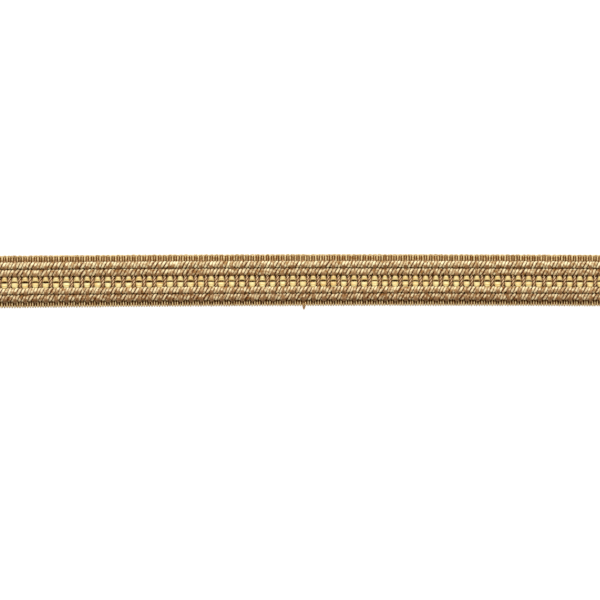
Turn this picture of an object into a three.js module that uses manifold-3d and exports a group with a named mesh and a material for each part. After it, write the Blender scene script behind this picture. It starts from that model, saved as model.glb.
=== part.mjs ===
// Gimp braid trim: a cut length of narrow furnishing braid that lies flat, face up.
// A brown woven ground turns in loops along both edges and carries four thick twisted cords,
// two on each side of a pair of gold floss bundles. Every 3 mm the ground's thread rises over
// the floss in a bar, and half way between two bars it rises over each cord in a small hump.
// Millimetres. X runs along the trim, +Y to its upper edge, +Z up from the back of the cloth.

import * as THREE from "three";
import Module from "manifold-3d";
import { mergeVertices } from "three/addons/utils/BufferGeometryUtils.js";

// Size of the cut length and pitch of its weave.
const LENGTH = 190;
const WIDTH = 15;
const BAR_PITCH = 3;
const BAR_COUNT = 63;
const FIRST_BAR_X = -BAR_PITCH * (BAR_COUNT - 1) / 2;
const PICKS_PER_BAR = 4;

// The trim lies in a very slight bow and narrows a little towards +X.
const BOW_RADIUS = 11000;
const BOW_CREST_X = 25;
const TAPER_PER_MM = 0.0001;

// Ground cloth and the notches between the loops of its edges.
const GROUND_THICKNESS = 0.8;
const NOTCH_DEPTH = 0.35;

// Clear space between two pieces, and the level at which cords and floss lie on the ground.
const PIECE_GAP = 0.3;
const ROW_BASE_Z = GROUND_THICKNESS + PIECE_GAP;

// The rows from the upper edge down: the lines where each meets its neighbours, measured
// across the trim from its centreline.
const CORD_ROWS = [
  { name: "cord_1", upper: 5.55, lower: 3.5 },
  { name: "cord_2", upper: 3.5, lower: 1.27 },
  { name: "cord_3", upper: -1.87, lower: -3.84 },
  { name: "cord_4", upper: -3.84, lower: -5.85 },
];
const FLOSS_ROWS = [
  { name: "floss_upper", upper: 1.27, lower: -0.23, pinchedUpper: 0.6 },
  { name: "floss_lower", upper: -0.23, lower: -1.87, pinchedLower: -1.2 },
];

// Cords: thickness, and the hump where the ground's thread crosses each cord.
const CORD_HEIGHT = 1.2;
const HUMP_RISE = 0.17;
const HUMP_LENGTH = 1.2;

// Floss: thickness where it shows, and pressed down under a bar.
const FLOSS_HEIGHT = 1.05;
const PRESSED_HEIGHT = 0.35;
const CELL_LENGTH = 1.9;
const CELL_CROWN_LENGTH = 1;

// Bars: each is an arch over both floss bundles, with its feet fused to the ground and three
// beads of its twist along the crest. The tables give half the arch, from its middle outwards.
const BAR_LENGTH = 0.95;
const BAR_CENTRE = (FLOSS_ROWS[0].upper + FLOSS_ROWS[1].lower) / 2;
const BAR_ROOT_Z = GROUND_THICKNESS / 2;
const BAR_OUTSIDE = [
  { across: 0, level: 2.17 },
  { across: 0.48, level: 2.03 },
  { across: 1, level: 2.13 },
  { across: 1.42, level: 1.6 },
  { across: 1.6, level: BAR_ROOT_Z },
];
const BAR_INSIDE = [
  { across: 0.65, level: 1.77 },
  { across: 1.05, level: 1.42 },
  { across: 1.23, level: BAR_ROOT_Z },
];

// Sections, as shares of the half width and of the height. The lines marked coarse have few
// points: they lie plain on the ground or along a cord's side.
const CORD_SECTION = [
  { across: -0.5, level: 0, coarse: true },
  { across: 0.5, level: 0, coarse: true },
  { across: 1, level: 0.45, coarse: true },
  { across: 0.62, level: 0.88, coarse: false },
  { across: 0, level: 1, coarse: false },
  { across: -0.62, level: 0.88, coarse: false },
  { across: -1, level: 0.45, coarse: true },
];
const FLOSS_SECTION = [
  { across: -0.7, level: 0, coarse: true },
  { across: 0.7, level: 0, coarse: true },
  { across: 1, level: 0.55, coarse: false },
  { across: 0, level: 1, coarse: false },
  { across: -1, level: 0.55, coarse: false },
];

const BROWN = new THREE.MeshStandardMaterial({ color: 0x8a6440, roughness: 0.75, metalness: 0 });
const TAN = new THREE.MeshStandardMaterial({ color: 0xb89868, roughness: 0.55, metalness: 0 });
const GOLD = new THREE.MeshStandardMaterial({ color: 0xe2c878, roughness: 0.4, metalness: 0 });

const wasm = await Module();
wasm.setup();

function yOf(x, across) {
  const bow = -((x - BOW_CREST_X) ** 2) / (2 * BOW_RADIUS);
  return bow + across * (1 - TAPER_PER_MM * x);
}

function barX(index) {
  return FIRST_BAR_X + index * BAR_PITCH;
}

// Positions along the trim at the given offsets from every bar, or from every second bar where
// stride is 2, with both cut ends.
function stationsAt(offsets, stride) {
  const end = LENGTH / 2;
  const stations = [];
  for (let index = -1; index <= BAR_COUNT; index += stride) {
    for (const offset of offsets) {
      stations.push(barX(index) + offset);
    }
  }
  return [-end, ...stations.filter((x) => Math.abs(x) < end - PIECE_GAP), end];
}

// Distance along the trim from x to the nearest bar.
function fromBar(x) {
  const turns = (x - FIRST_BAR_X) / BAR_PITCH;
  return Math.abs(turns - Math.round(turns)) * BAR_PITCH;
}

// Faces between two neighbouring lines that run from one cut end to the other.
function stitch(near, far, triangles) {
  let i = 0;
  let j = 0;
  while (i < near.points.length - 1 || j < far.points.length - 1) {
    const nearMiddle = near.points[i].x + (near.points[i + 1]?.x ?? Infinity);
    const farMiddle = far.points[j].x + (far.points[j + 1]?.x ?? Infinity);
    if (nearMiddle <= farMiddle) {
      triangles.push(near.first + i, far.first + j, near.first + i + 1);
      i += 1;
    } else {
      triangles.push(near.first + i, far.first + j, far.first + j + 1);
      j += 1;
    }
  }
}

// A closed piece over a ring of lines, the ring running from +Y by way of +Z to -Y.
function pieceOver(rings) {
  const lines = [];
  let first = 0;
  for (const points of rings) {
    lines.push({ points, first, last: first + points.length - 1 });
    first += points.length;
  }
  const triangles = [];
  lines.forEach((line, n) => stitch(line, lines[(n + 1) % lines.length], triangles));
  for (let n = 1; n < lines.length - 1; n += 1) {
    triangles.push(lines[0].first, lines[n + 1].first, lines[n].first);
    triangles.push(lines[0].last, lines[n].last, lines[n + 1].last);
  }
  const geometry = new THREE.BufferGeometry().setFromPoints(rings.flat());
  geometry.setIndex(triangles);
  geometry.computeVertexNormals();
  return geometry;
}

// A cord or floss bundle: bounds(x) gives its edges across the trim and its height at x. Its
// coarse lines keep the bounds that it has at a bar.
function bundle(section, stations, coarseStations, bounds) {
  return pieceOver(section.map(({ across, level, coarse }) => {
    const places = coarse ? coarseStations : stations;
    return places.map((x) => {
      const { upper, lower, height } = bounds(coarse ? FIRST_BAR_X : x);
      const middle = (upper + lower) / 2;
      const half = (upper - lower) / 2;
      return new THREE.Vector3(x, yOf(x, middle + across * half), ROW_BASE_Z + level * height);
    });
  }));
}

function cord({ upper, lower }) {
  const middle = BAR_PITCH / 2;
  const stations = stationsAt([middle - HUMP_LENGTH / 2, middle, middle + HUMP_LENGTH / 2], 1);
  return bundle(CORD_SECTION, stations, stationsAt([0], 2), (x) => {
    const fromHump = middle - fromBar(x);
    const hump = Math.max(0, 1 - fromHump / (HUMP_LENGTH / 2));
    return {
      upper: upper - PIECE_GAP / 2,
      lower: lower + PIECE_GAP / 2,
      height: CORD_HEIGHT + HUMP_RISE * hump,
    };
  });
}

function floss({ upper, lower, pinchedUpper = upper, pinchedLower = lower }) {
  const foot = (BAR_PITCH - CELL_LENGTH) / 2;
  const crown = (BAR_PITCH - CELL_CROWN_LENGTH) / 2;
  const stations = stationsAt([foot, crown, BAR_PITCH - crown, BAR_PITCH - foot], 1);
  return bundle(FLOSS_SECTION, stations, stationsAt([BAR_PITCH / 2], 1), (x) => {
    const swell = THREE.MathUtils.clamp((fromBar(x) - foot) / (crown - foot), 0, 1);
    return {
      upper: THREE.MathUtils.lerp(pinchedUpper, upper, swell) - PIECE_GAP / 2,
      lower: THREE.MathUtils.lerp(pinchedLower, lower, swell) + PIECE_GAP / 2,
      height: THREE.MathUtils.lerp(PRESSED_HEIGHT, FLOSS_HEIGHT, swell),
    };
  });
}

// One edge of the ground from cut end to cut end, tip and notch in turn, a loop at every pick.
function loopedEdge(side, firstTipX) {
  const halfStep = BAR_PITCH / PICKS_PER_BAR / 2;
  const end = LENGTH / 2;
  const edgePoint = (x, notch) => new THREE.Vector2(x, yOf(x, side * (WIDTH / 2 - notch)));
  const points = [edgePoint(-end, NOTCH_DEPTH)];
  let step = Math.ceil((PIECE_GAP - end - firstTipX) / halfStep);
  for (let x = firstTipX + step * halfStep; x < end - PIECE_GAP; x += halfStep) {
    points.push(edgePoint(x, step % 2 === 0 ? 0 : NOTCH_DEPTH));
    step += 1;
  }
  points.push(edgePoint(end, NOTCH_DEPTH));
  return points;
}

// The picks turn over the gaps on the upper edge and at the picks themselves on the lower one.
function groundCloth() {
  const upper = loopedEdge(1, FIRST_BAR_X + BAR_PITCH / PICKS_PER_BAR / 2);
  const lower = loopedEdge(-1, FIRST_BAR_X);
  const atLevel = (edge, z) => edge.map(({ x, y }) => new THREE.Vector3(x, y, z));
  return pieceOver([
    atLevel(lower, 0),
    atLevel(upper, 0),
    atLevel(upper, GROUND_THICKNESS),
    atLevel(lower, GROUND_THICKNESS),
  ]);
}

function bar(x) {
  const mirrored = (half) => half.map(({ across, level }) => ({ across: -across, level }));
  const outline = [
    ...BAR_OUTSIDE.slice().reverse(),
    ...mirrored(BAR_OUTSIDE.slice(1)),
    ...mirrored(BAR_INSIDE).reverse(),
    ...BAR_INSIDE,
  ];
  const shape = new THREE.Shape(outline.map(({ across, level }) => {
    return new THREE.Vector2(yOf(x, BAR_CENTRE + across), level);
  }));
  const geometry = new THREE.ExtrudeGeometry(shape, { depth: BAR_LENGTH, bevelEnabled: false });
  const alongX = new THREE.Matrix4().makeBasis(
    new THREE.Vector3(0, 1, 0),
    new THREE.Vector3(0, 0, 1),
    new THREE.Vector3(1, 0, 0),
  );
  geometry.applyMatrix4(alongX);
  geometry.translate(x - BAR_LENGTH / 2, 0, 0);
  return geometry;
}

function toSolid(geometry) {
  const bare = geometry.clone();
  bare.deleteAttribute("normal");
  bare.deleteAttribute("uv");
  const merged = mergeVertices(bare);
  return new wasm.Manifold(new wasm.Mesh({
    numProp: 3,
    vertProperties: merged.attributes.position.array,
    triVerts: new Uint32Array(merged.index.array),
  }));
}

function toGeometry(solid) {
  const { vertProperties, triVerts } = solid.getMesh();
  const geometry = new THREE.BufferGeometry();
  geometry.setAttribute("position", new THREE.BufferAttribute(vertProperties, 3));
  geometry.setIndex(new THREE.BufferAttribute(triVerts, 1));
  geometry.computeVertexNormals();
  return geometry;
}

function web() {
  let solid = toSolid(groundCloth());
  for (let index = 0; index < BAR_COUNT; index += 1) {
    solid = solid.add(toSolid(bar(barX(index))));
  }
  return toGeometry(solid);
}

function named(name, geometry, material) {
  const mesh = new THREE.Mesh(geometry, material);
  mesh.name = name;
  return mesh;
}

// The trim stands on the origin: centred along and across, with its back at Z = 0.
const trim = new THREE.Group();
trim.add(named("web", web(), BROWN));
for (const row of CORD_ROWS) {
  trim.add(named(row.name, cord(row), TAN));
}
for (const row of FLOSS_ROWS) {
  trim.add(named(row.name, floss(row), GOLD));
}
const centre = new THREE.Box3().setFromObject(trim).getCenter(new THREE.Vector3());
trim.position.set(-centre.x, -centre.y, 0);

export default trim;
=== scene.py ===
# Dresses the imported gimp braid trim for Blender: spun picks that turn in loops along both
# edges, four twisted cords, weft threads over the cords, twisted crossbars and gold floss.
# Tables of points are in millimetres; everything that Blender holds is in metres.

import math
import random
from collections import namedtuple

import bpy
from bpy.props import FloatProperty, FloatVectorProperty, IntProperty, PointerProperty
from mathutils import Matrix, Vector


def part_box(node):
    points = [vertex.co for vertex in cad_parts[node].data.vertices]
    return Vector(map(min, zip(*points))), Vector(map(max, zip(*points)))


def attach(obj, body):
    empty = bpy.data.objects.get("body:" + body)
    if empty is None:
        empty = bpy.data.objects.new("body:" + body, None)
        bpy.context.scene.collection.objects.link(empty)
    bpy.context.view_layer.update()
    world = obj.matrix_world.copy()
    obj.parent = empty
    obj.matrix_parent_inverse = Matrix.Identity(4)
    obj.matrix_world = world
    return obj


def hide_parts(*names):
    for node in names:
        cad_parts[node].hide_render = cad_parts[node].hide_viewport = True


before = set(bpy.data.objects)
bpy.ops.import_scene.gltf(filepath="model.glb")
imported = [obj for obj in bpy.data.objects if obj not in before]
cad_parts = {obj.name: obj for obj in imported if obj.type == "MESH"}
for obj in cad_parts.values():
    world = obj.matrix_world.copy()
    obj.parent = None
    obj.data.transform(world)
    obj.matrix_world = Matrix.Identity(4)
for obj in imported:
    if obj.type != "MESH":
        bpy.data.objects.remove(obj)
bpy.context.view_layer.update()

bl_info = {
    "name": "Gimp braid trim",
    "version": (1, 0, 0),
    "blender": (4, 5, 0),
    "location": "3D View > Sidebar > Braid",
    "description": "Threads, cords and floss of a length of furnishing braid",
    "category": "Object",
}

MM = 0.001
PER_MM = 1 / MM
WEB_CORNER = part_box("web")[1]
HALF_LENGTH = WEB_CORNER.x
HALF_WIDTH = 7.5 * MM

# The weave along the trim: a crossbar at X = 0 and at every pitch from it, four picks to a bar.
BAR_PITCH = 3.0 * MM
BAR_COUNT = 63
FIRST_BAR = -BAR_PITCH * (BAR_COUNT - 1) / 2
PICK_PITCH = BAR_PITCH / 4
PICK_COUNT = 4 * BAR_COUNT + 1

# Whole pitches added before a fraction is taken, so that it never is of a negative number.
PITCHES_ASIDE = 50.0

# The slight bow and taper that the solids have too. The rows are measured from a centre line, at
# the level that puts the highest pick at the top of the solid web.
BOW_RADIUS = 11.0
BOW_CREST = 25 * MM
TAPER = 0.1
PICK_PLACES = [FIRST_BAR + step * PICK_PITCH for step in range(PICK_COUNT - 1)]
CENTRE_LINE = WEB_CORNER.y - max(
    HALF_WIDTH * (1 - TAPER * x) - (x - BOW_CREST) ** 2 / (2 * BOW_RADIUS) for x in PICK_PLACES
)

# How far the weave has crept along the trim at each place, both in millimetres.
CREEP = [
    (-95, -0.28), (-84, -0.27), (-54, 0), (-19, 0.19), (6, 0), (15, -0.05), (24, 0),
    (45, -0.13), (64, 0), (72, 0.05), (87, -0.04), (95, -0.05),
]
CREEP_RANGE = 0.5

# Levels of the layers that lie on each other, from the back up.
WARP_Z = 0.2
BACK_PICK_Z = 0.31
PICK_Z = 0.6
ROW_Z = 0.76

# Places across the trim: points of a core pick, the warps on the back, with how far they rise
# and sink between the picks, and the threads inside the edges, with their height.
CORE_PICK_Y = (-7.33, -7.1, -5.5, -2, 2, 5.5, 6.9, 7.14)
WARP_Y = (5.2, 4.1, 2.9, 1.8, 0.6, -0.6, -1.8, -2.9, -4.1, -5.2)
WARP_LIFT = 0.11
EDGE_THREADS = ((7.08, 0.5), (7.0, 0.34), (-7.3, 0.42))

# Cords: centre and half width across the trim, the length of one turn of the two plies, the turn
# that they start with, and each cord's share of the cords' colour in red, green and blue. The
# cords are of one yarn, and the shares paint them as lit and shaded copies: painted shade.
Cord = namedtuple("Cord", "node centre half lay start shade")
CORDS = [
    Cord("cord_1", 4.52, 1.04, 2.0, 0.1, (0.89, 0.91, 0.91)),
    Cord("cord_2", 2.36, 1.05, 2.06, 0.45, (0.8, 0.77, 0.735)),
    Cord("cord_3", -2.88, 1.01, 1.96, 0.7, (0.87, 0.85, 0.83)),
    Cord("cord_4", -4.92, 0.98, 2.04, 0.3, (0.74, 0.69, 0.65)),
]
CORD_Z = 1.55
CORD_STEP = 0.17
CORD_DIP = 0.04

# The weft threads over the cords: their places around a cord, in degrees from its top, how far
# above its middle they pass on its lower and its upper side, and how far apart they lie on the
# cord and in the creases beside it.
AROUND_CORD = (-78, -48, -16, 16, 48, 78)
LOWER_RISE, UPPER_RISE = 0.84, 0.56
SPREAD_ON_CORD, SPREAD_IN_CREASE = 0.36, 0.24

# Where the three strands of the loose thread end spring from.
END_MIDDLE = 1.78

# Floss bundles: the two edges where a bundle is full and where a bar pinches it, the length of a
# full cell, how its outline leans and bulges, the side on which the bundles part, and each
# bundle's share of the floss's colour. The bundles are of one floss, and the shares paint them as
# lit and shaded copies: painted shade, darker on the upper bundle.
Floss = namedtuple("Floss", "node crown pinch cell skew bulge lean split shade")
FLOSS = [
    Floss(
        "floss_upper", crown=(1.4, -0.22), pinch=(0.5, -0.5), cell=1.74, skew=0.2,
        bulge=0.0, lean=-0.08, split=-1, shade=(0.81, 0.785, 0.775),
    ),
    Floss(
        "floss_lower", crown=(-0.5, -2.14), pinch=(-0.56, -1.6), cell=2.0, skew=-0.04,
        bulge=0.16, lean=-0.05, split=1, shade=(0.9, 0.925, 0.96),
    ),
]

# Painted shade in creases: light that reaches the bottom of a crease has been through other
# fibres and is redder, so a crease is painted with what is left there of a yarn's deep colour,
# in thin threads and between thick ones.
SHADE_IN_THREADS = (0.42, 0.23, 0.1)
SHADE_BETWEEN_CORDS = (0.5, 0.18, 0.03)

# How often in a metre the lay of a cord and the ridges of the floss drift, and how far the ridges
# swing round the bundle, in radians of a ridge.
LAY_DRIFTS = 180.0
RIDGE_DRIFTS = 260.0
RIDGE_SWING = 7.0

# The rows cover and shade a strip of the ground, whose middle is a little above the centre line.
SHADED_MIDDLE = CENTRE_LINE + 0.4 * MM

# Colours of the smaller yarns, in the light and deep between their fibres.
BAR_COLOURS = (0.86, 0.66, 0.4, 1.0), (0.34, 0.17, 0.055, 1.0)
# The cord cores are dark and red so that, seen between the plies, they paint the crease shade.
CORD_CORE_COLOURS = (0.25, 0.09, 0.025, 1.0), (0.12, 0.035, 0.01, 1.0)
THREAD_END_COLOURS = (0.38, 0.22, 0.085, 1.0), (0.2, 0.09, 0.025, 1.0)

# The stage: half a side of the floor, which is clear of the trim's back by a hair, the size of the
# key light, how far it is and how steeply it falls, and the middle of the photographed frame.
FLOOR_REACH = 2.5
FLOOR_LEVEL = -0.05 * MM
KEY_LENGTH, KEY_WIDTH = 0.4, 0.22
KEY_DISTANCE = 1.2
KEY_HEIGHT = math.radians(53)
FRAME_MIDDLE = (0.66 * MM, CENTRE_LINE - 5.97 * MM)


class Wire:
    """The output of a node. Arithmetic on it adds the Math or Vector Math nodes."""

    def __init__(self, nodes, socket):
        self.nodes = nodes
        self.socket = socket

    def output(self, name):
        sockets = [s for s in self.socket.node.outputs if s.enabled]
        return Wire(self.nodes, next(s for s in sockets if s.name == name))

    def __add__(self, other):
        return self.nodes.maths("ADD", self, other)

    __radd__ = __add__

    def __sub__(self, other):
        return self.nodes.maths("SUBTRACT", self, other)

    def __rsub__(self, other):
        return self.nodes.maths("SUBTRACT", other, self)

    def __mul__(self, other):
        return self.nodes.maths("MULTIPLY", self, other)

    __rmul__ = __mul__

    def __truediv__(self, other):
        return self.nodes.maths("DIVIDE", self, other)

    def __rtruediv__(self, other):
        return self.nodes.maths("DIVIDE", other, self)

    def __pow__(self, other):
        return self.nodes.maths("POWER", self, other)


def is_vector(value):
    if isinstance(value, Wire):
        return value.socket.type in {"VECTOR", "RGBA"}
    return hasattr(value, "__len__")


class Nodes:
    """Adds nodes to a shader or geometry tree."""

    def __init__(self, tree):
        self.tree = tree

    def add(self, kind, settings=None, sockets=None):
        node = self.tree.nodes.new(kind)
        for name, value in (settings or {}).items():
            if name == "points":
                set_curve(node.mapping, value)
            else:
                setattr(node, name, value)
        free = [socket for socket in node.inputs if socket.enabled]
        for key, value in (sockets or {}).items():
            if isinstance(key, int):
                socket = free[key]
            else:
                socket = next(s for s in free if s.name == key)
            if isinstance(value, Wire):
                self.tree.links.new(value.socket, socket)
            else:
                socket.default_value = value
        return Wire(self, next((s for s in node.outputs if s.enabled), None))

    def maths(self, operation, *values):
        """A Math node, or a Vector Math node where one of the values is a vector."""
        vectors = [is_vector(value) for value in values]
        if not any(vectors):
            return self.add("ShaderNodeMath", {"operation": operation}, dict(enumerate(values)))
        if operation == "MULTIPLY" and not all(vectors):
            vector, factor = values if vectors[0] else reversed(values)
            return self.add(
                "ShaderNodeVectorMath", {"operation": "SCALE"}, {"Vector": vector, "Scale": factor}
            )
        return self.add("ShaderNodeVectorMath", {"operation": operation}, dict(enumerate(values)))

    def vector(self, x, y, z):
        return self.add("ShaderNodeCombineXYZ", None, {"X": x, "Y": y, "Z": z})

    def parts(self, vector):
        x = self.add("ShaderNodeSeparateXYZ", None, {"Vector": vector})
        return x, x.output("Y"), x.output("Z")

    def ramp(self, value, low, high, start=0.0, end=1.0):
        """From start at low to end at high, with soft ends."""
        return self.add(
            "ShaderNodeMapRange",
            {"interpolation_type": "SMOOTHSTEP"},
            {"Value": value, "From Min": low, "From Max": high, "To Min": start, "To Max": end},
        )

    def mix(self, factor, low, high):
        """A blend of two numbers, or of two colours where low is a tuple or a colour."""
        kind = "RGBA" if is_vector(low) else "FLOAT"
        return self.add(
            "ShaderNodeMix", {"data_type": kind}, {"Factor": factor, "A": low, "B": high}
        )

    def noise(self, vector, scale, detail=2.0, roughness=0.5):
        return self.add(
            "ShaderNodeTexNoise",
            {"noise_dimensions": "3D"},
            {"Vector": vector, "Scale": scale, "Detail": detail, "Roughness": roughness},
        )

    def absolute(self, value):
        return self.maths("ABSOLUTE", value)

    def within_one(self, value):
        return self.maths("MINIMUM", self.maths("MAXIMUM", value, 0.0), 1.0)

    def store(self, geometry, name, value, kind="FLOAT"):
        """Keeps a value on the points of a geometry, to be read with stored or painted."""
        return self.add(
            "GeometryNodeStoreNamedAttribute",
            {"data_type": kind, "domain": "POINT"},
            {"Geometry": geometry, "Name": name, "Value": value},
        )

    def stored(self, name, kind="FLOAT"):
        return self.add("GeometryNodeInputNamedAttribute", {"data_type": kind}, {"Name": name})

    def painted(self, name, output="Fac"):
        """In a material, a value that the geometry tree has stored."""
        return self.add("ShaderNodeAttribute", {"attribute_name": name}).output(output)

    def chance(self, low, high, seed):
        """In a geometry tree, a random number for each curve."""
        index = self.add("GeometryNodeInputIndex")
        domain = {"domain": "CURVE", "data_type": "INT"}
        curve = self.add("GeometryNodeFieldOnDomain", domain, {0: index})
        return self.add(
            "FunctionNodeRandomValue",
            {"data_type": "FLOAT"},
            {"Min": low, "Max": high, "ID": curve, "Seed": seed},
        )

    def circle(self, sides, radius):
        return self.add(
            "GeometryNodeCurvePrimitiveCircle",
            {"mode": "RADIUS"},
            {"Resolution": sides, "Radius": radius},
        )

    def inputs(self, *rows):
        """Group inputs from rows of name, kind and default, as a dict of wires."""
        for name, kind, default in rows:
            socket = self.tree.interface.new_socket(
                name, in_out="INPUT", socket_type="NodeSocket" + kind
            )
            if default is not None:
                socket.default_value = default
        node = self.tree.nodes.new("NodeGroupInput")
        return {s.name: Wire(self, s) for s in node.outputs if s.name}


def set_curve(mapping, points):
    curve = mapping.curves[0]
    while len(curve.points) < len(points):
        curve.points.new(0.5, 0.5)
    for point, place in zip(curve.points, points):
        point.location = place
    mapping.update()


# ---- geometry node trees ----


def lie_on_trim(nodes, position):
    """Moves points from the straight rows to the bowed, tapering trim, creep included."""
    x, y, z = nodes.parts(position)
    along = (x + HALF_LENGTH) / (2 * HALF_LENGTH)
    places = [
        ((place * MM + HALF_LENGTH) / (2 * HALF_LENGTH), creep / (2 * CREEP_RANGE) + 0.5)
        for place, creep in CREEP
    ]
    creep = nodes.add("ShaderNodeFloatCurve", {"points": places}, {"Value": along})
    inside = nodes.ramp(nodes.absolute(x), HALF_LENGTH - 2 * MM, HALF_LENGTH, 1, 0)
    moved_x = x + (creep - 0.5) * (2 * CREEP_RANGE * MM) * inside
    off_crest = x - BOW_CREST
    bow = off_crest * off_crest / (2 * BOW_RADIUS)
    moved_y = y * (1 - x * TAPER) - bow + CENTRE_LINE
    return nodes.vector(moved_x, moved_y, nodes.maths("MAXIMUM", z, 0.0))


def from_place(nodes, x, shift):
    """Distance along the trim, in pitches, from the nearest bar where shift is 0.5, and from the
    nearest place half way between two bars where it is 0."""
    return nodes.absolute(nodes.maths("FRACT", x / BAR_PITCH + (PITCHES_ASIDE + shift)) - 0.5)


def finish_tree(nodes, mesh, place, material):
    """Lays the mesh on the trim, makes it smooth, gives it its material and ends the tree."""
    mesh = nodes.add(
        "GeometryNodeSetPosition", None, {"Geometry": mesh, "Position": lie_on_trim(nodes, place)}
    )
    mesh = nodes.add("GeometryNodeSetShadeSmooth", None, {"Geometry": mesh, "Shade Smooth": True})
    mesh = nodes.add("GeometryNodeRealizeInstances", None, {0: mesh})
    mesh = nodes.add("GeometryNodeSetMaterial", None, {"Geometry": mesh, "Material": material})
    nodes.tree.interface.new_socket("Geometry", in_out="OUTPUT", socket_type="NodeSocketGeometry")
    nodes.add("NodeGroupOutput", None, {"Geometry": mesh})


def thread_tree():
    """Threads of one or more plies along a path, repeated along the trim. A seed moves each
    noise to a place of its own."""
    tree = bpy.data.node_groups.new("laid_thread", "GeometryNodeTree")
    nodes = Nodes(tree)
    given = nodes.inputs(
        ("Path", "Geometry", None),
        ("Points per span", "Int", 1),
        ("Repeats", "Int", 1),
        ("Pitch", "Float", BAR_PITCH),
        ("First", "Float", 0.0),
        ("Plies", "Int", 1),
        ("Ply offset", "Float", 0.0),
        ("Ply radius", "Float", 0.2 * MM),
        ("Ply sides", "Int", 6),
        ("Lay", "Float", 2 * MM),
        ("Start turn", "Float", 0.0),
        ("Turn spread", "Float", 0.0),
        ("Lay wander", "Float", 0.0),
        ("Side", "Vector", (1.0, 0.0, 0.0)),
        ("Sides sunk", "Float", 0.0),
        ("Squeeze", "Float", 0.0),
        ("Squeeze length", "Float", 1 * MM),
        ("Point", "Float", 0.0),
        ("Flatten", "Float", 1.0),
        ("Flatten level", "Float", 0.0),
        ("Wander", "Vector", (0.0, 0.0, 0.0)),
        ("Wander length", "Vector", (1.0, 1.0, 1.0)),
        ("Seed", "Int", 1),
        ("Material", "Material", None),
    )

    # One spline for each path, copied to every repeat.
    curve = nodes.add("GeometryNodeMeshToCurve", None, {"Mesh": given["Path"]})
    curve = nodes.add("GeometryNodeCurveSplineType", {"spline_type": "CATMULL_ROM"}, {0: curve})
    curve = nodes.add(
        "GeometryNodeSetSplineResolution", None, {0: curve, "Resolution": given["Points per span"]}
    )
    places = nodes.add(
        "GeometryNodeMeshLine",
        {"mode": "OFFSET", "count_mode": "TOTAL"},
        {
            "Count": given["Repeats"],
            "Start Location": nodes.vector(given["First"], 0.0, 0.0),
            "Offset": nodes.vector(given["Pitch"], 0.0, 0.0),
        },
    )
    curve = nodes.add("GeometryNodeInstanceOnPoints", None, {"Points": places, "Instance": curve})
    curve = nodes.add("GeometryNodeRealizeInstances", None, {0: curve})
    curve = nodes.add("GeometryNodeResampleCurve", {"mode": "EVALUATED"}, {0: curve})

    # How far the plies have turned round each other at every point.
    spread = nodes.chance(-0.5, 0.5, given["Seed"])
    parameter = nodes.add("GeometryNodeSplineParameter")
    reach = parameter.output("Length")
    drift = nodes.add(
        "ShaderNodeTexNoise",
        {"noise_dimensions": "1D"},
        {"W": reach * LAY_DRIFTS + given["Seed"] * 7.3, "Scale": 1.0, "Detail": 1.0},
    )
    turn = (
        reach / given["Lay"]
        + given["Start turn"]
        + spread * given["Turn spread"]
        + (drift - 0.5) * given["Lay wander"]
    )
    curve = nodes.store(curve, "turn", turn)

    # The cord is squeezed half way between bars, and a loose end runs to a point.
    position = nodes.add("GeometryNodeInputPosition")
    x = nodes.parts(position)[0]
    from_hump = from_place(nodes, x, 0.0)
    squeeze = nodes.ramp(from_hump * BAR_PITCH, 0.0, given["Squeeze length"], 1.0, 0.0)
    pointed = parameter.output("Factor") ** 1.5 * given["Point"]
    curve = nodes.store(curve, "girth", (1 - squeeze * given["Squeeze"]) * (1 - pointed))
    curve = nodes.add(
        "GeometryNodeDuplicateElements",
        {"domain": "SPLINE"},
        {"Geometry": curve, "Amount": given["Plies"]},
    )
    ply = curve.output("Duplicate Index")
    girth = nodes.stored("girth")
    angle = (nodes.stored("turn") + ply / given["Plies"]) * math.tau
    tangent = nodes.add("GeometryNodeInputTangent")
    up = nodes.maths("NORMALIZE", nodes.maths("CROSS_PRODUCT", tangent, given["Side"]))
    side = nodes.maths("CROSS_PRODUCT", up, tangent)
    offset = side * nodes.maths("COSINE", angle) - up * nodes.maths("SINE", angle)
    curve = nodes.store(curve, "axis", position, "FLOAT_VECTOR")
    curve = nodes.add(
        "GeometryNodeSetPosition",
        None,
        {"Geometry": curve, "Offset": offset * (given["Ply offset"] * girth)},
    )

    # The spun surface: where each point is around its ply and along it, in millimetres.
    profile = nodes.circle(given["Ply sides"], given["Ply radius"])
    around = position * (1 / given["Ply radius"])
    profile = nodes.store(profile, "around", around, "FLOAT_VECTOR")
    curve = nodes.store(curve, "along", reach * PER_MM)
    curve = nodes.store(curve, "tone", nodes.chance(0.0, 1.0, given["Seed"] + 40))
    mesh = nodes.add(
        "GeometryNodeCurveToMesh",
        None,
        {"Curve": curve, "Profile Curve": profile, "Scale": girth, "Fill Caps": True},
    )
    along = nodes.vector(0.0, 0.0, nodes.stored("along"))
    yarn = nodes.stored("around", "FLOAT_VECTOR") + along
    mesh = nodes.store(mesh, "yarn", yarn, "FLOAT_VECTOR")

    # How far each point stands out of the thread, or out of the row of threads beside it.
    from_axis = position - nodes.stored("axis", "FLOAT_VECTOR")
    thread_radius = given["Ply offset"] + given["Ply radius"]
    proud = nodes.maths("LENGTH", from_axis) / (thread_radius * girth)
    # With sides sunk, the sides of a thread count as less proud, so its yarn is painted darker
    # there: painted shade.
    beside = nodes.parts(from_axis)[0] / (given["Ply radius"] * girth)
    proud = nodes.mix(given["Sides sunk"], proud, 1 - beside * beside * 0.5)
    mesh = nodes.store(mesh, "proud", proud)
    for name in ("around", "along", "turn", "girth", "axis"):
        mesh = nodes.add("GeometryNodeRemoveAttribute", None, {"Geometry": mesh, "Name": name})

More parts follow.
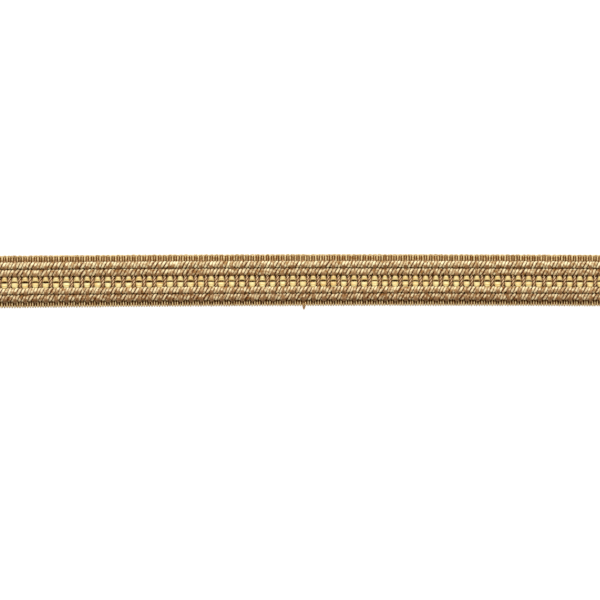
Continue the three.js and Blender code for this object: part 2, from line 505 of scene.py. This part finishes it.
    # Nothing in a woven trim is quite regular; then it all lies on the bowed line.
    uneven = nodes.noise(
        nodes.maths("DIVIDE", position, given["Wander length"])
        + nodes.vector(given["Seed"] * 3.7, 0.0, 0.0),
        1.0,
        1.0,
    ).output("Color")
    wandered = position + (uneven - (0.5, 0.5, 0.5)) * 2.0 * given["Wander"]
    x, y, z = nodes.parts(wandered)
    level = given["Flatten level"]
    flat = nodes.vector(x, y, level + (z - level) * given["Flatten"])
    finish_tree(nodes, mesh, flat, given["Material"])
    return tree


def floss_tree():
    """A bundle of floss that swells between crossbars and is pinched under each of them."""
    tree = bpy.data.node_groups.new("floss_bundle", "GeometryNodeTree")
    nodes = Nodes(tree)
    given = nodes.inputs(
        ("Geometry", "Geometry", None),
        ("Stations", "Int", 1200),
        ("Sides", "Int", 36),
        ("Upper edge", "Float", 1.0 * MM),
        ("Lower edge", "Float", 0.0),
        ("Upper pinch", "Float", 0.8 * MM),
        ("Lower pinch", "Float", 0.2 * MM),
        ("Base", "Float", ROW_Z * MM),
        ("Height", "Float", 1.3 * MM),
        ("Pressed height", "Float", 0.5 * MM),
        ("Cell length", "Float", 1.9 * MM),
        ("Fullness", "Float", 2.6),
        ("Skew", "Float", 0.2),
        ("Bulge", "Float", 0.0),
        ("Lean", "Float", 0.0),
        ("Roundness", "Float", 0.55),
        ("Filaments", "Int", 9),
        ("Filament depth", "Float", 0.07),
        ("Uneven", "Float", 0.2 * MM),
        ("Seed", "Int", 1),
        ("Material", "Material", None),
    )
    line = nodes.add(
        "GeometryNodeCurvePrimitiveLine",
        None,
        {"Start": (-HALF_LENGTH, 0.0, 0.0), "End": (HALF_LENGTH, 0.0, 0.0)},
    )
    line = nodes.add(
        "GeometryNodeResampleCurve", {"mode": "COUNT"}, {0: line, "Count": given["Stations"]}
    )
    position = nodes.add("GeometryNodeInputPosition")
    profile = nodes.circle(given["Sides"], 1.0)
    profile = nodes.store(profile, "yarn", position, "FLOAT_VECTOR")
    mesh = nodes.add(
        "GeometryNodeCurveToMesh",
        None,
        {"Curve": line, "Profile Curve": profile, "Fill Caps": True},
    )
    across, level, _ = nodes.parts(nodes.stored("yarn", "FLOAT_VECTOR"))
    x = nodes.parts(position)[0]

    # Each cell between two crossbars has its own fullness.
    cell = nodes.maths("FLOOR", x / BAR_PITCH)
    chance = nodes.add(
        "ShaderNodeTexWhiteNoise",
        {"noise_dimensions": "2D"},
        {"Vector": nodes.vector(cell, given["Seed"], 0.0)},
    ).output("Color")
    sway, plump, tone = nodes.parts(chance)
    from_bar = from_place(nodes, x, 0.5)
    off_centre = (0.5 - from_bar) * (2 * BAR_PITCH) / given["Cell length"]
    taper = 1 + across * given["Skew"] + across * across * given["Bulge"] + (plump - 0.5) * 0.16
    off_centre = nodes.maths("MINIMUM", off_centre * taper, 1.0)
    swell = (1 - off_centre ** given["Fullness"]) ** 0.5
    shift = (sway - 0.5) * given["Uneven"] * swell
    upper = nodes.mix(swell, given["Upper pinch"], given["Upper edge"]) + shift
    lower = nodes.mix(swell, given["Lower pinch"], given["Lower edge"]) + shift
    full = given["Height"] * (1 + (plump - 0.5) * 0.14)
    height = nodes.mix(swell, given["Pressed height"], full)

    # Ridges of filaments run along the bundle and drift round it slowly.
    angle = nodes.maths("ARCTAN2", level, across)
    slow = nodes.noise(nodes.vector(x * RIDGE_DRIFTS, given["Seed"] * 5.1, 0.0), 1.0, 1.0)
    ridge = nodes.maths("COSINE", angle * given["Filaments"] + (slow - 0.5) * RIDGE_SWING)
    girth = 1 + ridge * given["Filament depth"] * (0.4 + swell * 0.6)
    y = (upper + lower) / 2 + (upper - lower) / 2 * across * girth
    rounded = nodes.absolute(level) ** given["Roundness"] * nodes.maths("SIGN", level)
    z = given["Base"] + height * (0.5 + rounded * girth * 0.5) + given["Lean"] * across * swell
    mesh = nodes.store(mesh, "tone", tone)
    mesh = nodes.store(mesh, "proud", swell)
    mesh = nodes.store(mesh, "ridge", ridge)
    mesh = nodes.store(mesh, "yarn", nodes.vector(across, level, x * PER_MM), "FLOAT_VECTOR")
    finish_tree(nodes, mesh, nodes.vector(x, y, z), given["Material"])
    return tree


# ---- pieces ----


def mm(*values):
    return tuple(value * MM for value in values)


def tinted(shares, colour):
    """A share of the red, the green and the blue of a colour."""
    return tuple(share * value for share, value in zip(shares, colour)) + (1.0,)


def path_mesh(name, paths):
    """A mesh of lines of points."""
    points = []
    edges = []
    for line in paths:
        first = len(points)
        points += [mm(*point) for point in line]
        edges += [(first + n, first + n + 1) for n in range(len(line) - 1)]
    mesh = bpy.data.meshes.new(name)
    mesh.from_pydata(points, edges, [])
    return mesh


def grow(name, mesh, tree, slot, **values):
    """A piece made by running a tree on a mesh, kept as a plain mesh that rides on the root. The
    values are given to the tree's inputs of the same names."""
    piece = bpy.data.objects.new(name, mesh)
    bpy.context.scene.collection.objects.link(piece)
    modifier = piece.modifiers.new("grow", "NODES")
    modifier.node_group = tree
    names = {
        item.name.lower().replace(" ", "_"): item.identifier
        for item in tree.interface.items_tree
        if item.in_out == "INPUT"
    }
    for key, value in values.items():
        modifier[names[key]] = value
    bpy.context.view_layer.update()
    depsgraph = bpy.context.evaluated_depsgraph_get()
    grown = bpy.data.meshes.new_from_object(piece.evaluated_get(depsgraph))
    piece.modifiers.clear()
    piece.data = grown
    grown.name = name
    bpy.data.meshes.remove(mesh)
    if not grown.polygons:
        raise RuntimeError(f"{name} came out empty")
    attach(piece, "root")
    return piece


def tree_named(name, make):
    return bpy.data.node_groups.get(name) or make()


def laid_thread(name, paths, slot="ground_thread", **values):
    tree = tree_named("laid_thread", thread_tree)
    return grow(name, path_mesh(name + "_path", paths), tree, slot, **values)


def arched_pick():
    """One repeat of the picks that arch over their neighbour at the upper edge."""
    front, turn = PICK_Z + 0.06, PICK_Z - 0.02
    return [
        (0, 7.33, turn), (0.36, 7.31, turn), (0.56, 7.18, front), (0.65, 6.85, front),
        (0.67, 6.3, front), (0.67, 5.4, front), (0.66, 0, PICK_Z), (0.68, -5.6, front + 0.1),
        (0.7, -6.8, front + 0.24), (0.7, -7.4, front + 0.1), (0.76, -7.58, turn - 0.1),
        (0.82, -7.36, front - 0.2), (0.8, -6.8, front - 0.24), (0.8, -5.6, front - 0.2),
        (0.83, 0, PICK_Z - 0.12), (0.83, 5.4, front - 0.04), (0.83, 6.3, front - 0.04),
        (0.85, 6.85, front - 0.02), (0.94, 7.18, front), (1.14, 7.31, turn), (1.5, 7.33, turn),
    ]


def plain_pick():
    """The picks between, which turn to the back under the arches."""
    level = PICK_Z - 0.04
    return [
        (0, 6.5, 0.22), (0, 6.95, 0.3), (0, 7.1, 0.42), (0, 6.85, level), (0, 6.2, level + 0.04),
        (0, 5.4, level), (0, 0, level - 0.08), (0, -5.6, level + 0.14), (0, -6.8, level + 0.28),
        (0, -7.44, level + 0.16), (0, -7.6, 0.46), (0, -7.1, 0.26), (0, -6.6, 0.22),
    ]


def stray_fibres():
    """Short fibres that stand out of the edges, more of them from the upper one."""
    chance = random.Random(7)
    fibres = []
    for side, edge, count in ((1, 7.36, 760), (-1, 7.5, 300)):
        for _ in range(count):
            x = chance.uniform(-94, 94)
            lean = chance.uniform(-0.35, 0.35)
            tip = chance.uniform(0.04, 0.3)
            z = chance.uniform(0.4, 0.75)
            fibres.append(
                [
                    (x, side * (edge - 0.4), z),
                    (x + lean * 0.3, side * (edge - 0.05), z + 0.05),
                    (x + lean, side * (edge + tip), z + chance.uniform(-0.15, 0.1)),
                ]
            )
    return fibres


def cord_line(centre):
    """The middle of a cord, pressed down a little by the wefts half way between bars."""
    steps = round(2 * HALF_LENGTH / (CORD_STEP * MM))
    pitch = BAR_PITCH / MM
    line = []
    for step in range(steps + 1):
        x = (-HALF_LENGTH + 2 * HALF_LENGTH * step / steps) / MM
        from_hump = abs((x / pitch + PITCHES_ASIDE) % 1 - 0.5) * pitch
        dip = CORD_DIP * max(0.0, math.cos(min(from_hump, 1.0) * math.pi / 2))
        line.append((x, centre, CORD_Z - dip))
    return line


def new_material(name):
    """A material, its shader and its nodes."""
    material = bpy.data.materials.new(name)
    material.use_nodes = True
    return material, material.node_tree.nodes["Principled BSDF"], Nodes(material.node_tree)


def finish_fibres(nodes, shader, colour, fine, coarse, relief, depth, roughness):
    """Joins a colour to the shader, with a relief and a gloss that follow the fibres."""
    bump = nodes.add(
        "ShaderNodeBump",
        None,
        {"Strength": relief, "Distance": depth * MM, "Height": fine * 0.7 + coarse * 0.3},
    )
    gloss = roughness + (fine - 0.5) * 0.2
    for wire, name in ((colour, "Base Color"), (bump, "Normal"), (gloss, "Roughness")):
        nodes.tree.links.new(wire.socket, shader.inputs[name])


def spun_yarn(
    name,
    light,
    deep,
    turn=1.6,
    blotch=1.5,
    speck=1.4,
    odd=0.7,
    sunk=0.6,
    crease=0.93,
    dark=SHADE_IN_THREADS,
    buried=0.0,
):
    """Lustrous spun yarn. Its fibres wind round the thread by turn radians in a millimetre. Its
    colour goes from deep to light by fibre and strand, darker where their relief is low, which is
    partly their own tone and partly painted shade; by blotches of speck millimetres; and by as
    much as odd from one thread to the next. Painted light makes it lighter towards the edges of
    the trim. Painted shade makes it dark between plies, where it is less proud than sunk to
    crease, and where it lies nearer than buried to the middle of the trim, under the rows."""
    material, shader, nodes = new_material(name)
    yarn = nodes.painted("yarn", "Vector")
    tone = nodes.painted("tone")
    proud = nodes.painted("proud")
    place = nodes.add("ShaderNodeTexCoord").output("Object")
    along = nodes.parts(yarn)[2]
    wound = nodes.add(
        "ShaderNodeVectorRotate",
        {"rotation_type": "Z_AXIS"},
        {"Vector": yarn, "Angle": along * turn},
    )
    fibres = nodes.noise(wound * (2.6, 2.6, 0.35), 1.6, 3.0, 0.6)
    strands = nodes.noise(wound * (1.0, 1.0, 0.12), 1.4, 1.0)
    cloud = nodes.noise(place, 1 / (speck * MM), 1.0)
    from_middle = nodes.absolute(nodes.parts(place)[1] - SHADED_MIDDLE)
    # Painted light: the yarn is lighter towards the edges of the trim, from further in at the
    # lower edge.
    lit_edge = nodes.ramp(from_middle, HALF_WIDTH - 0.9 * MM, HALF_WIDTH - 0.1 * MM, 0.0, 0.35)
    # Fibres and strands low in the relief are darker: partly their own tone, partly painted shade.
    shade = (
        (fibres - 0.5) * 0.9 + (strands - 0.5) * 1.2 + (tone - 0.5) * odd
        + (cloud - 0.5) * blotch + 0.55 + lit_edge
    )
    colour = nodes.mix(nodes.within_one(shade), deep, light)
    # Painted shade: the crease colour mixed in between plies and on the ground under the rows.
    painted_shade = nodes.maths(
        "MAXIMUM",
        nodes.ramp(proud, sunk, crease, 0.94, 0.0),
        nodes.ramp(from_middle, buried - 0.5 * MM, buried, 0.6, 0.0),
    )
    colour = nodes.mix(painted_shade, colour, tinted(dark, deep))
    finish_fibres(nodes, shader, colour, fibres, strands, relief=0.6, depth=0.06, roughness=0.36)
    shader.inputs["Specular IOR Level"].default_value = 0.24
    shader.inputs["Specular Tint"].default_value = (1.0, 0.82, 0.5, 1.0)
    return material


def floss_satin(name, light, deep, split):
    """Untwisted floss: fine filaments side by side with a satin lustre. Its colour goes from
    deep to light by filament and lock, darker where their relief is low, which is partly their
    own tone and partly painted shade. Painted highlight makes the ridges of filaments lighter,
    and painted shade the grooves between them darker. Painted shade darkens it where the two
    bundles part, on the upper side of a bundle where split is 1 and on the lower where it is -1,
    and where a bar pinches it.
    """
    material, shader, nodes = new_material(name)
    yarn = nodes.painted("yarn", "Vector")
    tone = nodes.painted("tone")
    proud = nodes.painted("proud")
    ridge = nodes.painted("ridge")
    filaments = nodes.noise(yarn * (7.0, 7.0, 0.5), 2.0, 3.0, 0.6)
    locks = nodes.noise(yarn * (2.2, 2.2, 0.4), 1.2, 1.0)
    across = nodes.parts(yarn)[0]
    # Painted highlight on the ridges of filaments and painted shade in the grooves between them.
    shade = (filaments - 0.5) + (locks - 0.5) * 3.5 + (tone - 0.5) * 0.3 + ridge * 0.55 + 0.58
    colour = nodes.mix(nodes.within_one(shade), deep, light)
    # Painted shade where the bundles part and where a bar pinches the floss.
    parting_shade = nodes.ramp(across * split, 0.72, 0.9, 0.0, 0.88) * nodes.ramp(proud, 0.6, 0.95)
    sunk = nodes.maths("MAXIMUM", parting_shade, nodes.ramp(proud, 0.15, 0.7, 0.92, 0.0))
    shadow = tinted([0.5 * share for share in SHADE_BETWEEN_CORDS], deep)
    colour = nodes.mix(sunk, colour, shadow)
    finish_fibres(nodes, shader, colour, filaments, locks, relief=0.5, depth=0.05, roughness=0.46)
    shader.inputs["Specular IOR Level"].default_value = 0.6
    shader.inputs["Specular Tint"].default_value = (1.0, 0.88, 0.66, 1.0)
    shader.inputs["Sheen Weight"].default_value = 0.1
    return material


def crossing(first, cords, last):
    """Place, height and spread of three wefts that climb over two cords, from inside outwards.
    They stand prouder on the lower side of a cord, and come together in the creases."""
    side = 1 if last > 0 else -1
    points = [(first, 0.75, 0.14), (first + side * 0.2, 1.05, 0.2)]
    for cord in cords:
        reach = cord.half * 0.86 + 0.12
        for degrees in AROUND_CORD:
            lean = math.radians(degrees)
            y = cord.centre - 0.28 + side * reach * math.sin(lean)
            rise = LOWER_RISE if y < cord.centre - 0.1 else UPPER_RISE
            spread = SPREAD_IN_CREASE if abs(degrees) > 60 else SPREAD_ON_CORD
            points.append((y, CORD_Z - 0.12 + rise * math.cos(lean), spread))
    points += [(last, 1.1, 0.2), (last + side * 0.12, 0.75, 0.12), (last + side * 0.3, 0.5, 0.06)]
    return points


def length_setting(name, description, default, precision=6):
    return FloatProperty(
        name=name,
        description=description,
        default=default,
        precision=precision,
        unit="LENGTH",
        subtype="DISTANCE",
    )


def colour_setting(name, description, default):
    return FloatVectorProperty(
        name=name, description=description, default=default, size=4, subtype="COLOR"
    )


class GroundSettings(bpy.types.PropertyGroup):
    """Size and colour of the ground's threads."""

    radius: length_setting("Pick radius", "Radius of the thread of the picks", 0.19 * MM)
    light: colour_setting(
        "Thread", "Colour of the ground's thread in the light", (0.79, 0.65, 0.36, 1.0)
    )
    deep: colour_setting(
        "Thread, deep",
        "Colour of the ground's thread between its fibres",
        (0.35, 0.195, 0.062, 1.0),
    )
    # The core's dark red is the threads' colour and also painted shade in the gaps between picks,
    # where it shows.
    core: colour_setting(
        "Core",
        "Colour of the threads inside and on the back of the ground",
        (0.2, 0.07, 0.014, 1.0),
    )


class CordSettings(bpy.types.PropertyGroup):
    """Size and colour of the twisted cords and of the threads over them."""

    ply_share: FloatProperty(
        name="Ply",
        description="Radius of a ply as a share of the cord's half width",
        default=0.39,
        min=0.3,
        max=0.5,
    )
    flatten: FloatProperty(
        name="Flatten",
        description="Thickness of a cord as a share of its width",
        default=0.76,
        min=0.4,
        max=1.0,
    )
    light: colour_setting("Cord", "Colour of the cords in the light", (1.0, 0.91, 0.6, 1.0))
    deep: colour_setting(
        "Cord, deep", "Colour of the cords between their fibres", (0.41, 0.235, 0.09, 1.0)
    )
    weft_light: colour_setting(
        "Weft",
        "Colour of the threads that cross over the cords and the floss",
        (0.42, 0.25, 0.12, 1.0),
    )
    weft_deep: colour_setting(
        "Weft, deep",
        "Colour of the crossing threads between their fibres",
        (0.18, 0.085, 0.03, 1.0),
    )


class FlossSettings(bpy.types.PropertyGroup):
    """Size and colour of the gold floss."""

    height: length_setting("Height", "Thickness of the floss between two crossbars", 1.36 * MM)
    filaments: IntProperty(
        name="Filaments",
        description="Ridges of filaments around a bundle",
        default=9,
        min=3,
        max=16,
    )
    light: colour_setting("Floss", "Colour of the floss in the light", (0.88, 0.82, 0.42, 1.0))
    deep: colour_setting(
        "Floss, deep", "Colour of the floss between its filaments", (0.7, 0.47, 0.155, 1.0)
    )


class StageSettings(bpy.types.PropertyGroup):
    """Camera, floor and light."""

    frame_width: length_setting(
        "Frame width", "Width of what the camera sees on the trim", 175.63 * MM, precision=5
    )
    distance: length_setting("Distance", "Height of the camera above the trim", 1.5, precision=2)
    key: FloatProperty(
        name="Key light",
        description="Power of the soft light above the upper edge",
        default=13.4,
        unit="POWER",
    )
    fill: FloatProperty(
        name="Fill light",
        description="Strength of the pale surroundings",
        default=0.52,
    )


SETTINGS = {
    "braid_ground": GroundSettings,
    "braid_cords": CordSettings,
    "braid_floss": FlossSettings,
    "braid_stage": StageSettings,
}


class BRAID_OT_ground(bpy.types.Operator):
    """Weave the ground: looped picks, the core under them and the warps on the back"""

    bl_idname = "braid.ground"
    bl_label = "Ground"

    def execute(self, context):
        given = context.scene.braid_ground
        finish = {"blotch": 2.3, "speck": 0.7, "odd": 0.3, "buried": 5.5 * MM}
        yarn = spun_yarn("ground_yarn", given.light, given.deep, **finish)
        # The core's dark red is the threads' colour and also painted shade in the gaps between
        # picks, where it shows.
        core = spun_yarn("core_yarn", given.core, tinted([0.5] * 3, given.core))
        # Painted shade: the plain picks, which lie lower than the arched ones, are the ground's
        # thread a little darker.
        plain = spun_yarn("plain_yarn", tinted([0.94] * 3, given.light), given.deep, **finish)
        picks = (("ground_picks", arched_pick(), yarn), ("plain_picks", plain_pick(), plain))
        for number, (name, path, material) in enumerate(picks):
            piece = laid_thread(
                name,
                [path],
                points_per_span=3,
                repeats=PICK_COUNT // 2 + number,
                pitch=2 * PICK_PITCH,
                first=FIRST_BAR - 2 * PICK_PITCH,
                ply_radius=given.radius,
                ply_sides=8,
                sides_sunk=1.0,
                wander=mm(0.08, 0.17, 0.05),
                wander_length=mm(0.8, 5, 5),
                seed=3 + number,
                material=material,
            )
            if number == 0:
                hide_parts("web")
        laid_thread(
            "core_picks",
            [[(0, y, BACK_PICK_Z) for y in CORE_PICK_Y]],
            points_per_span=2,
            repeats=PICK_COUNT,
            pitch=PICK_PITCH,
            first=FIRST_BAR - PICK_PITCH * 1.5,
            ply_radius=0.31 * MM,
            flatten=0.7,
            flatten_level=BACK_PICK_Z * MM,
            wander=mm(0.05, 0.08, 0.02),
            wander_length=mm(0.8, 5, 5),
            seed=6,
            material=core,
        )
        laid_thread(
            "edge_threads",
            [[(x * 0.5, y, z) for x in range(-188, 189)] for y, z in EDGE_THREADS],
            ply_radius=0.14 * MM,
            wander=mm(0, 0.08, 0.05),
            wander_length=mm(1.5, 2, 5),
            seed=9,
            material=plain,
        )
        laid_thread(
            "stray_fibres",
            stray_fibres(),
            points_per_span=2,
            ply_radius=0.03 * MM,
            ply_sides=3,
            point=0.5,
            seed=8,
            material=yarn,
        )
        warps = []
        step = PICK_PITCH / 2 / MM
        stations = range(-PICK_COUNT, PICK_COUNT + 1)
        for number, y in enumerate(WARP_Y):
            lift = WARP_LIFT if number % 2 else -WARP_LIFT
            levels = [WARP_Z + lift * share for share in (0, 1, 0, -1)]
            warps.append([(n * step, y, levels[n % 4]) for n in stations])
        laid_thread(
            "ground_warps",
            warps,
            ply_radius=0.1 * MM,
            ply_sides=5,
            wander=mm(0, 0.08, 0),
            wander_length=mm(3, 1, 5),
            seed=5,
            material=core,
        )
        return {"FINISHED"}


class BRAID_OT_cords(bpy.types.Operator):
    """Lay the four twisted cords"""

    bl_idname = "braid.cords"
    bl_label = "Twisted cords"

    def execute(self, context):
        given = context.scene.braid_cords
        for number, cord in enumerate(CORDS):
            radius = cord.half * given.ply_share * MM
            # Each cord's yarn is the cords' colours scaled by its shares, a lit or shaded copy:
            # painted shade.
            yarn = spun_yarn(
                f"cord_yarn_{number + 1}",
                tinted(cord.shade, given.light),
                tinted([shade**2 * 1.2 for shade in cord.shade], given.deep),
                turn=1.2,
                blotch=2.7 / cord.shade[0],
                speck=1.15,
                odd=0.1,
                sunk=0.66,
                crease=0.99,
                dark=SHADE_BETWEEN_CORDS,
            )
            piece = laid_thread(
                f"twisted_cord_{number + 1}",
                [cord_line(cord.centre)],
                plies=2,
                ply_offset=cord.half * MM - radius,
                ply_radius=radius,
                ply_sides=10,
                lay=cord.lay * MM,
                start_turn=cord.start,
                lay_wander=0.65,
                side=(0.0, 1.0, 0.0),
                squeeze=0.06,
                squeeze_length=0.9 * MM,
                flatten=given.flatten,
                flatten_level=CORD_Z * MM,
                wander=mm(0, 0.08, 0.04),
                wander_length=mm(2, 9, 9),
                seed=11 + number,
                material=yarn,
                slot="twisted_cord",
            )
            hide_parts(cord.node)
        # The dark cores show between the plies as painted crease shade.
        laid_thread(
            "cord_cores",
            [[(x, cord.centre, CORD_Z - 0.1) for x in range(-95, 96)] for cord in CORDS],
            ply_radius=0.34 * MM,
            seed=15,
            material=spun_yarn("cord_core_yarn", *CORD_CORE_COLOURS),
            slot="twisted_cord",
        )
        return {"FINISHED"}


class BRAID_OT_wefts(bpy.types.Operator):
    """Pass the weft threads over the cords half way between crossbars"""

    bl_idname = "braid.wefts"
    bl_label = "Wefts over the cords"

    def execute(self, context):
        given = context.scene.braid_cords
        yarn = spun_yarn("weft_yarn", given.weft_light, given.weft_deep, turn=0.4, odd=0.3)
        lower_shift = 0.12 * MM
        rows = {
            "weft_over_cords_upper": crossing(0.9, [CORDS[1], CORDS[0]], 5.66),
            "weft_over_cords_lower": crossing(-1.5, [CORDS[2], CORDS[3]], -5.95),
        }
        for number, (name, line) in enumerate(rows.items()):
            laid_thread(
                name,
                [[(share * spread, y, z) for y, z, spread in line] for share in (-1, 0, 1)],
                points_per_span=3,
                repeats=BAR_COUNT + 1,
                first=FIRST_BAR - BAR_PITCH / 2 + number * lower_shift,
                ply_radius=0.18 * MM,
                sides_sunk=0.8,
                wander=mm(0.09, 0.06, 0.05),
                wander_length=mm(1.5, 2.5, 5),
                seed=21 + number,
                material=yarn,
            )
        return {"FINISHED"}


class BRAID_OT_crossbars(bpy.types.Operator):
    """Twist the crossbars over the floss"""

    bl_idname = "braid.crossbars"
    bl_label = "Crossbars"

    def execute(self, context):
        yarn = spun_yarn("bar_yarn", *BAR_COLOURS, turn=1.5, blotch=0.8, odd=0.2)
        lay = 1.9
        line = [
            (0, 1.55, 0.8), (0, 1.35, 1.1), (0, 1.1, 1.4), (0, 0.7, 1.78), (0, 0.1, 1.94),
            (0, -0.7, 1.94), (0, -1.25, 1.9), (0, -1.7, 1.65), (0, -2.0, 1.25), (0, -2.2, 0.85),
        ]
        laid_thread(
            "crossbars",
            [line],
            points_per_span=4,
            repeats=BAR_COUNT,
            first=FIRST_BAR,
            plies=2,
            ply_offset=0.18 * MM,
            ply_radius=0.17 * MM,
            ply_sides=8,
            lay=-lay * MM,
            start_turn=0.25 + line[0][1] / lay,
            turn_spread=0.12,
            wander=mm(0.05, 0.03, 0.03),
            wander_length=mm(2, 3, 5),
            seed=31,
            material=yarn,
        )
        return {"FINISHED"}


class BRAID_OT_floss(bpy.types.Operator):
    """Fill the middle with the two bundles of gold floss"""

    bl_idname = "braid.floss"
    bl_label = "Gold floss"

    def execute(self, context):
        given = context.scene.braid_floss
        tree = tree_named("floss_bundle", floss_tree)
        for number, row in enumerate(FLOSS):
            name = row.node.replace("floss", "gold_floss")
            # Each bundle's floss is the floss colour scaled by its shares, a lit or shaded copy:
            # painted shade.
            light = tinted(row.shade, given.light)
            satin = floss_satin(name + "_satin", light, given.deep, row.split)
            piece = grow(
                name,
                bpy.data.meshes.new(name + "_start"),
                tree,
                "gold_floss",
                stations=1141,
                sides=38,
                upper_edge=row.crown[0] * MM,
                lower_edge=row.crown[1] * MM,
                upper_pinch=row.pinch[0] * MM,
                lower_pinch=row.pinch[1] * MM,
                cell_length=row.cell * MM,
                skew=row.skew,
                bulge=row.bulge,
                lean=row.lean * MM,
                height=given.height,
                filaments=given.filaments,
                seed=41 + number,
                material=satin,
            )
            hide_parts(row.node)
        return {"FINISHED"}


class BRAID_OT_thread_end(bpy.types.Operator):
    """Leave the loose thread end below the lower edge"""

    bl_idname = "braid.thread_end"
    bl_label = "Thread end"

    def execute(self, context):
        end = [
            (0.36, -5.9, 0.8), (0.36, -6.8, 0.86), (0.33, -7.6, 0.7), (0.24, -8.2, 0.46),
            (0.07, -8.7, 0.3),
        ]
        over_cord = [
            (4.9, -4.4, 2.15), (4.95, -4.8, 2.34), (5.05, -5.3, 2.26), (5.15, -5.8, 1.8),
            (5.1, -6.3, 1.15), (5.05, -7.0, 0.95),
        ]
        strands = [[(END_MIDDLE + share * x, y, z) for x, y, z in end] for share in (-1, 0, 1)]
        laid_thread(
            "thread_end",
            strands + [over_cord],
            points_per_span=5,
            ply_radius=0.22 * MM,
            ply_sides=10,
            point=0.6,
            seed=51,
            material=spun_yarn("end_yarn", *THREAD_END_COLOURS),
        )
        return {"FINISHED"}


class BRAID_OT_stage(bpy.types.Operator):
    """Set the pale floor, the soft light and the camera"""

    bl_idname = "braid.stage"
    bl_label = "Stage"

    def execute(self, context):
        scene = context.scene
        given = scene.braid_stage
        corners = [(-1, -1), (1, -1), (1, 1), (-1, 1)]
        mesh = bpy.data.meshes.new("floor")
        mesh.from_pydata(
            [(x * FLOOR_REACH, y * FLOOR_REACH, FLOOR_LEVEL) for x, y in corners],
            [],
            [(0, 1, 2, 3)],
        )
        floor = bpy.data.objects.new("floor", mesh)
        scene.collection.objects.link(floor)
        mesh.materials.append(floor_paper())

        light = bpy.data.lights.new("key", "AREA")
        light.shape = "RECTANGLE"
        light.size = KEY_LENGTH
        light.size_y = KEY_WIDTH
        light.energy = given.key
        key = bpy.data.objects.new("key", light)
        scene.collection.objects.link(key)
        aside, rise = math.cos(KEY_HEIGHT), math.sin(KEY_HEIGHT)
        key.location = (0, KEY_DISTANCE * aside, KEY_DISTANCE * rise)
        key.rotation_euler = (KEY_HEIGHT - math.pi / 2, 0, 0)

        world = bpy.data.worlds.new("pale_room")
        scene.world = world
        world.use_nodes = True
        nodes = Nodes(world.node_tree)
        backdrop = world.node_tree.nodes["Background"]
        # The room lights the trim warmly, and is seen as pale as the floor.
        seen = nodes.add("ShaderNodeLightPath").output("Is Camera Ray")
        colour = nodes.mix(seen, (1.0, 0.84, 0.66, 1.0), (1.78, 1.76, 1.72, 1.0))
        world.node_tree.links.new(colour.socket, backdrop.inputs["Color"])
        backdrop.inputs["Strength"].default_value = given.fill

        camera_data = bpy.data.cameras.new("camera")
        camera_data.sensor_width = 36
        camera_data.lens = camera_data.sensor_width * given.distance / given.frame_width
        camera = bpy.data.objects.new("camera", camera_data)
        scene.collection.objects.link(camera)
        camera.location = (*FRAME_MIDDLE, given.distance)
        scene.camera = camera
        scene.view_settings.view_transform = "Standard"
        return {"FINISHED"}


def floor_paper():
    """Plain pale paper that hardly takes a shadow."""
    material, shader, nodes = new_material("floor_paper")
    place = nodes.add("ShaderNodeTexCoord").output("Object")
    grain = nodes.noise(place, 90.0, 3.0)
    colour = nodes.mix(grain, (0.14, 0.14, 0.14, 1), (0.16, 0.16, 0.16, 1))
    nodes.tree.links.new(colour.socket, shader.inputs["Base Color"])
    shader.inputs["Roughness"].default_value = 0.9
    shader.inputs["Emission Color"].default_value = (1, 1, 1, 1)
    shader.inputs["Emission Strength"].default_value = 0.93
    return material


class BRAID_PT_panel(bpy.types.Panel):
    """Lists the pieces of the trim and what they are made from"""

    bl_idname = "BRAID_PT_panel"
    bl_label = "Gimp braid trim"
    bl_space_type = "VIEW_3D"
    bl_region_type = "UI"
    bl_category = "Braid"

    def draw(self, context):
        for operator in OPERATORS:
            self.layout.operator(operator.bl_idname)
        for name, group in SETTINGS.items():
            box = self.layout.box()
            for key in group.__annotations__:
                box.prop(getattr(context.scene, name), key)


OPERATORS = [
    BRAID_OT_ground,
    BRAID_OT_cords,
    BRAID_OT_wefts,
    BRAID_OT_crossbars,
    BRAID_OT_floss,
    BRAID_OT_thread_end,
    BRAID_OT_stage,
]


def register():
    for group in SETTINGS.values():
        bpy.utils.register_class(group)
    for name, group in SETTINGS.items():
        setattr(bpy.types.Scene, name, PointerProperty(type=group))
    for operator in OPERATORS:
        bpy.utils.register_class(operator)
    bpy.utils.register_class(BRAID_PT_panel)


def unregister():
    bpy.utils.unregister_class(BRAID_PT_panel)
    for operator in reversed(OPERATORS):
        bpy.utils.unregister_class(operator)
    for name, group in SETTINGS.items():
        delattr(bpy.types.Scene, name)
        bpy.utils.unregister_class(group)


def main():
    register()
    bpy.ops.braid.ground()
    bpy.ops.braid.cords()
    bpy.ops.braid.wefts()
    bpy.ops.braid.crossbars()
    bpy.ops.braid.floss()
    bpy.ops.braid.thread_end()
    bpy.ops.braid.stage()


if __name__ == "__main__":
    main()
